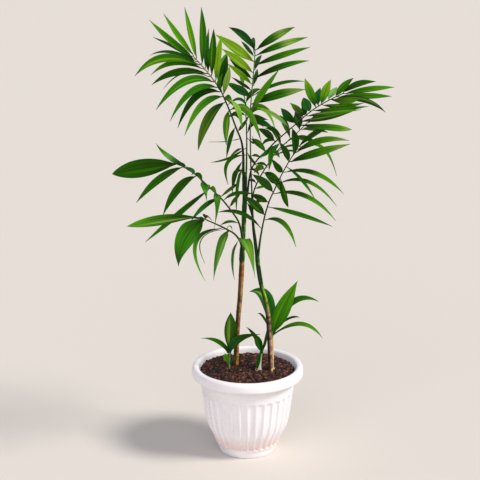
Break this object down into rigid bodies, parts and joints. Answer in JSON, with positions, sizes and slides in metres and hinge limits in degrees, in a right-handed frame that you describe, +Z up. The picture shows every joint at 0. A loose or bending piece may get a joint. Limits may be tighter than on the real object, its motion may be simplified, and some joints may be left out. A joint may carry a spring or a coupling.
{
  "type": "potted areca palm",
  "caption": "Young areca palm with slender canes and arching feathery fronds, growing with small shoots in soil in a round white plastic pot with vertical flutes and a rolled rim.",
  "frame": {"origin": "centre of the pot's flat base, on the pot's axis", "axes": "+Z up along the pot's axis, +X to the right and -Y towards the front, the side that the fronds face"},
  "size_m": [0.4992, 0.2459, 0.8681],
  "materials": {
    "pot": "smooth white moulded plastic with a soft gloss",
    "soil": "coarse dark brown potting mix",
    "cane": "ringed cane, brown at the bottom and green above",
    "stem": "young green and tan stem",
    "frond": "satin green leaflets on a green stalk",
    "leaf": "satin green pleated leaf"
  },
  "bodies": {
    "root": {"cane_left": "cane", "cane_right": "cane", "frond_back_right": "frond", "frond_inner": "frond", "frond_left": "frond", "frond_lower_left": "frond", "frond_right": "frond", "frond_top_centre": "frond", "frond_top_left": "frond", "frond_upper_right": "frond", "pot": "pot", "shoot_centre_leaf_front": "leaf", "shoot_centre_leaf_left": "leaf", "shoot_centre_leaf_low": "leaf", "shoot_centre_leaf_right": "leaf", "shoot_centre_stem": "stem", "shoot_left_leaf_left": "leaf", "shoot_left_leaf_low_left": "leaf", "shoot_left_leaf_low_right": "leaf", "shoot_left_leaf_right": "leaf", "shoot_left_leaf_upright": "leaf", "shoot_left_stem": "stem", "shoot_right_leaf_back": "leaf", "shoot_right_leaf_big": "leaf", "shoot_right_leaf_left": "leaf", "shoot_right_leaf_low": "leaf", "shoot_right_leaf_small": "leaf", "shoot_right_leaf_thin": "leaf", "shoot_right_stem": "stem", "soil": "soil"}
  },
  "joints": []
}
